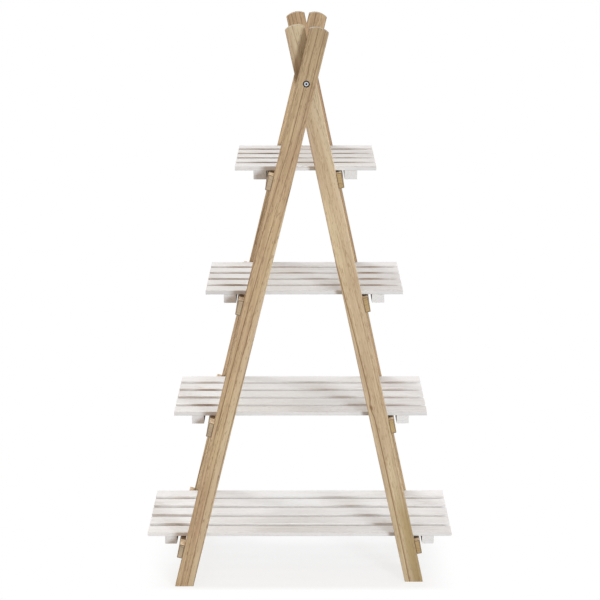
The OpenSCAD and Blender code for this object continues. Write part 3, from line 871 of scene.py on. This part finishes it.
LIT_SHARE = 0.23
FADE_ACROSS, FADE_DEEP = (0.30, 0.41), (0.17, 0.20)  # from full to none, in metres off the middle
floor = floor_sheet(14.0, 8.0, 0.2 * MM)
material, tree = new_material("studio_floor")
ray = add(tree, "LightPath").outputs
eye = add(tree, "Math", (ray["Is Camera Ray"], ray["Is Glossy Ray"]), operation="MAXIMUM")
off_middle = add(tree, "VectorMath", (add(tree, "TexCoord").outputs["Object"],), operation="ABSOLUTE")
sideways, deep, _ = add(tree, "SeparateXYZ", (off_middle,)).outputs
near_side = add(tree, "MapRange", (sideways, *FADE_ACROSS, 1.0, 0.0), **SMOOTH)
near_front = add(tree, "MapRange", (deep, *FADE_DEEP, 1.0, 0.0), **SMOOTH)
near = add(tree, "Math", (near_side, near_front), operation="MULTIPLY")
share = add(tree, "Math", (near, LIT_SHARE), operation="MULTIPLY")
even = add(tree, "Emission", {"Strength": 1.0})
pale = add(tree, "BsdfDiffuse", {"Color": linear("#F4F4F4")})
shown = add(tree, "MixShader", (share, even, pale))
grey = add(tree, "BsdfDiffuse", {"Color": linear("#A0A0A0")})
mixed = add(tree, "MixShader", (eye, grey, shown))
behind = add(tree, "NewGeometry").outputs["Backfacing"]
from_below = add(tree, "Math", (behind, ray["Is Camera Ray"]), operation="MULTIPLY")
sheet = add(tree, "MixShader", (from_below, mixed, add(tree, "BsdfTransparent")))
add(tree, "OutputMaterial", (sheet,))
floor.data.materials.append(material)
print("floor", tuple(round(s, 1) for s in floor.dimensions))

# %% [markdown]
# The light is plain and soft. A warm pale room lights everything evenly, and looks white to the camera
# and in mirrors. It could be a picture of a studio, but one plain colour gives no look of its own.

# %% Room
ROOM_LEVEL = 0.64
world = bpy.data.worlds.new("white_room")
bpy.context.scene.world = world
world.use_nodes = True
tree = world.node_tree
tree.nodes.clear()
ray = add(tree, "LightPath").outputs
eye = add(tree, "Math", (ray["Is Camera Ray"], ray["Is Glossy Ray"]), operation="MAXIMUM")
plain = add(tree, "Background", (linear("#FFEAD9"), ROOM_LEVEL))
white = add(tree, "Background", ((1, 1, 1, 1), 1.0))
room = add(tree, "MixShader", (eye, plain, white))
add(tree, "OutputWorld", (room,))
print("room level", ROOM_LEVEL)

# %% [markdown]
# A key box in front on the right draws the soft shadows to the left of the legs. A large box high
# behind fills the shelf tops and puts a pale rim on the ends of the legs, and two smaller ones, high
# behind on the left and right, light the outer sides. Sun lamps would need no size, but their
# shadows would be as hard as outdoors.


# %% Lamps
def soft_box(name, place, aim, width, power, tint):
    """A square area lamp at a place, turned to an aim: its -Z axis is the way from place to aim."""
    lamp = bpy.data.lights.new(name, "AREA")
    lamp.shape = "SQUARE"
    lamp.size = width
    lamp.energy = power
    lamp.color = linear(tint)[:3]
    made = bpy.data.objects.new(name, lamp)
    bpy.context.scene.collection.objects.link(made)
    back = np.array(place, float) - aim
    back /= np.linalg.norm(back)
    side = np.cross([0, 0, 1], back)
    side = side / np.linalg.norm(side)
    turned = np.eye(4)
    turned[:3, :3] = np.stack([side, np.cross(back, side), back], axis=1)
    turned[:3, 3] = place
    made.matrix_world = turned.T.tolist()


MIDDLE_OF_STAND = (0, 0, 0.6)
soft_box("key_box", (3.44, -4.91, 1.66), MIDDLE_OF_STAND, 1.4, 236, "#E9F3FC")
soft_box("back_box", (-2.88, 7.92, 7.67), MIDDLE_OF_STAND, 6.5, 325, "#E0F2FF")
soft_box("left_box", (-5.13, 4.3, 8.03), MIDDLE_OF_STAND, 2.2, 235, "#F7FBFF")
soft_box("right_box", (5.13, 4.3, 8.03), MIDDLE_OF_STAND, 2.2, 120, "#CFE6FF")

# %% [markdown]
# The picture is shown as the numbers come out, with no film curve, so that a colour on screen is the
# colour that was mixed.

# %% Finish
bpy.context.scene.view_settings.view_transform = "Standard"
